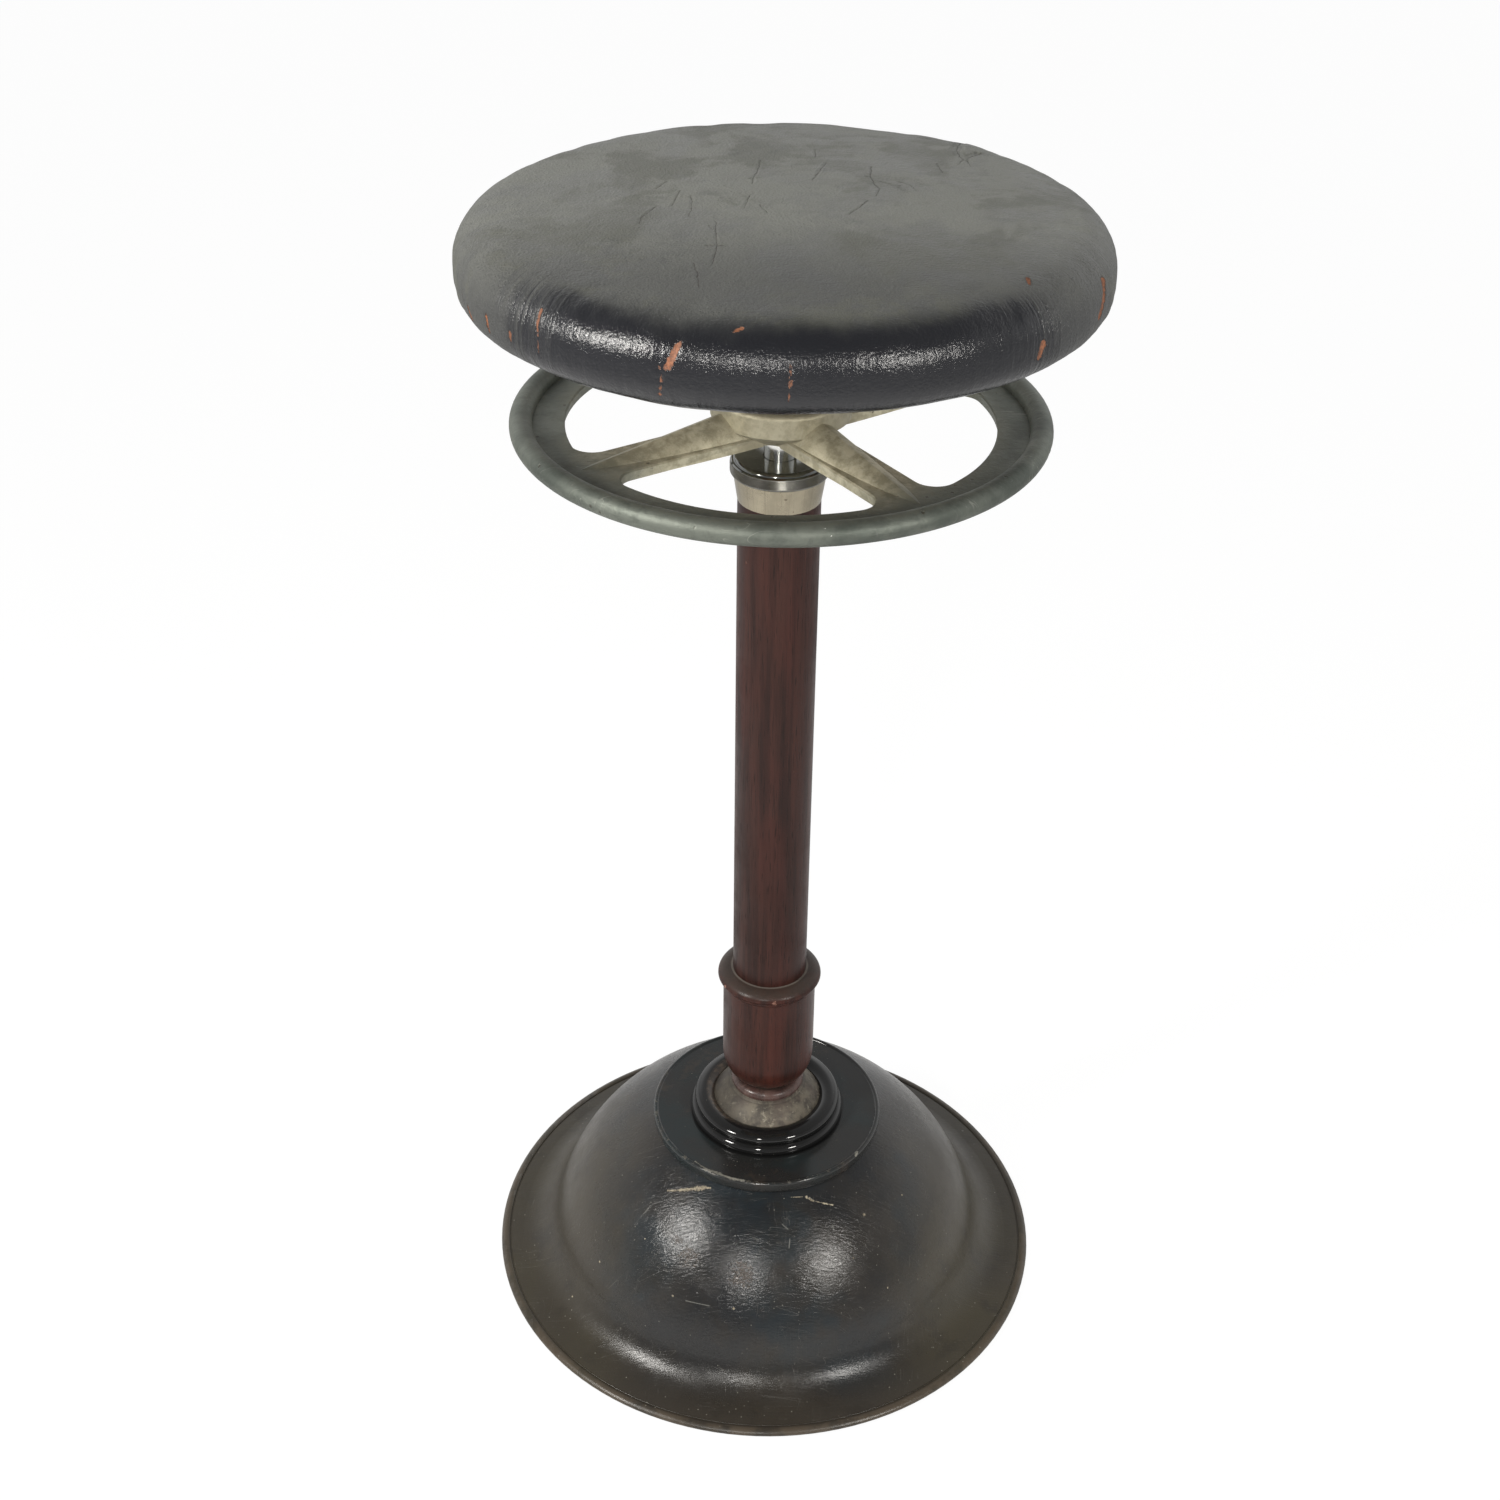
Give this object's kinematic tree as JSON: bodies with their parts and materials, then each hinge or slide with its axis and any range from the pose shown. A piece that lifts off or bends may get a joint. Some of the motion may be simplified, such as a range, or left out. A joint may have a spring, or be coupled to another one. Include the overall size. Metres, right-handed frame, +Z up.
{
  "type": "dental operating stool",
  "caption": "Round padded stool: a handwheel raises the seat on a screw in a turned wooden column that tilts on a sprung ball joint in a bell-shaped cast base.",
  "frame": {"origin": "floor level at the centre of the bell base", "axes": "+Z up along the column; +X to the pictured stool's right as seen from the front; +Y away from the viewer"},
  "size_m": [0.3809, 0.381, 0.7646],
  "materials": {
    "black_enamel": "gloss enamel, worn",
    "black_flange": "satin enamel, chipped at the edges",
    "cast_iron": "rough casting",
    "ball_iron": "rubbed, mottled",
    "steel": "machined",
    "polished_steel": "polished",
    "spring_steel": "blued",
    "bronze": "machined",
    "nickel": "worn plating",
    "mahogany": "dark, satin",
    "mahogany_red": "dark red, satin",
    "board": "plain",
    "aluminium": "cast, dulled",
    "leather": "aged, cracked and polished at the edge",
    "stuffing": "hair and cotton",
    "felt": "oiled felt",
    "rubber": "aged",
    "tack_brass": "dull"
  },
  "bodies": {
    "base": {"base_bell": "black_enamel", "floor_ring": "rubber", "socket_flange": "black_flange", "socket_cup": "cast_iron", "socket_bolts": "steel", "bolt_washers": "steel"},
    "level": {"level_washer": "steel"},
    "column": {"ball_foot": "ball_iron", "neck_ring": "mahogany_red", "draw_bolt": "steel", "centring_spring": "spring_steel", "spring_plate": "steel", "nut_washer": "steel", "draw_nut": "steel", "cotter_pin": "steel", "sleeve": "mahogany_red", "column": "mahogany", "steel_tube": "steel", "fixed_screw": "steel", "foot_pin": "steel", "ferrule": "nickel", "top_bush": "bronze", "clamp_collet": "bronze"},
    "lock": {"cap_nut": "nickel", "oil_ball": "polished_steel", "wiper_ring": "felt"},
    "guide": {"guide_collar": "bronze", "guide_key": "steel"},
    "wheel": {"spindle": "polished_steel", "spindle_nut": "bronze", "nut_pins": "steel", "retaining_ring": "steel", "handwheel": "aluminium", "wheel_pin": "steel", "thrust_washer": "bronze", "retainer_washer": "steel", "retainer_screw": "steel"},
    "seat": {"seat_plate": "cast_iron", "seat_screws": "steel", "seat_board": "board", "seat_pad": "stuffing", "seat_cover": "leather", "cover_tacks": "tack_brass"}
  },
  "joints": [
    {"name": "level_turn", "type": "hinge", "parent": "base", "child": "level", "pos_m": [0, 0, 0.057], "axis": [0, 0, 1], "continuous": true},
    {"name": "column_tilt", "type": "hinge", "parent": "level", "child": "column", "pos_m": [0, 0, 0.106], "axis": [1, 0, 0], "range_deg": [-10, 10], "stiffness_Nm_per_rad": 250, "deforming": ["centring_spring"]},
    {"name": "lock_turn", "type": "hinge", "parent": "column", "child": "lock", "pos_m": [0, 0, 0.608], "axis": [0, 0, 1], "range_deg": [0, 90]},
    {"name": "height_slide", "type": "slide", "parent": "column", "child": "guide", "axis": [0, 0, 1], "range_m": [-0.0127, 0.1397]},
    {"name": "wheel_turn", "type": "hinge", "parent": "guide", "child": "wheel", "pos_m": [0, 0, 0.637], "axis": [0, 0, 1], "range_deg": [-720, 7920]},
    {"name": "seat_turn", "type": "hinge", "parent": "wheel", "child": "seat", "pos_m": [0, 0, 0.7], "axis": [0, 0, 1], "continuous": true}
  ],
  "couplings": [
    {"joint": "height_slide", "follows": "wheel_turn", "m_per_rad": 0.0010106}
  ]
}
